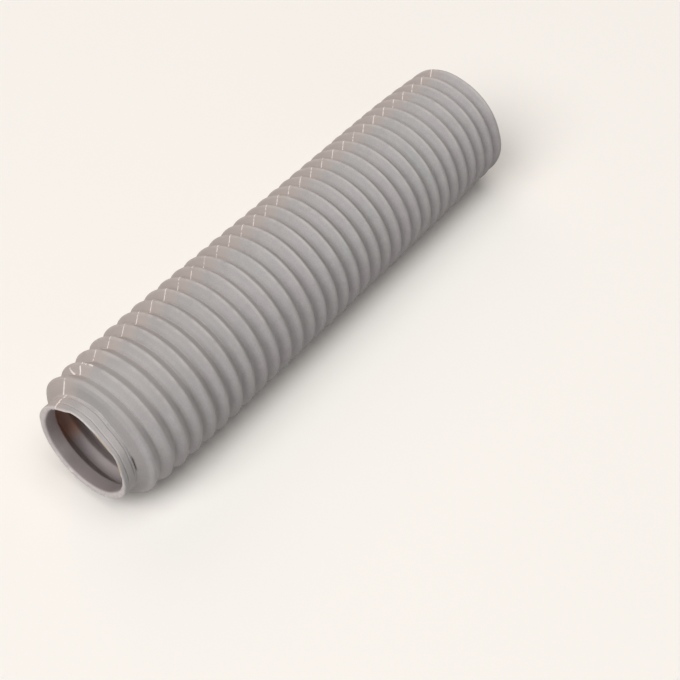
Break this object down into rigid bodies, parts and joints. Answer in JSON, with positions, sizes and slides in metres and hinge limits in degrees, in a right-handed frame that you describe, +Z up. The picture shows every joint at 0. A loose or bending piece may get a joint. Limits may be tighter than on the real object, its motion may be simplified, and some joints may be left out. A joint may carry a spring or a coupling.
{
  "type": "fork gaiter",
  "caption": "Moulded rubber bellows sleeve that covers one leg of a telescopic fork, with a plain wide mouth at one end and a thick narrower collar at the other.",
  "frame": {"origin": "centre of the bounding box's bottom face, on the floor that the gaiter lies on", "axes": "+X along the gaiter's axis from the large mouth to the small collar, +Z up"},
  "size_m": [0.3432, 0.0796, 0.078],
  "materials": {
    "gaiter_rubber": "matt moulded grey rubber"
  },
  "bodies": {
    "root": {"fork_gaiter": "gaiter_rubber"}
  },
  "joints": []
}
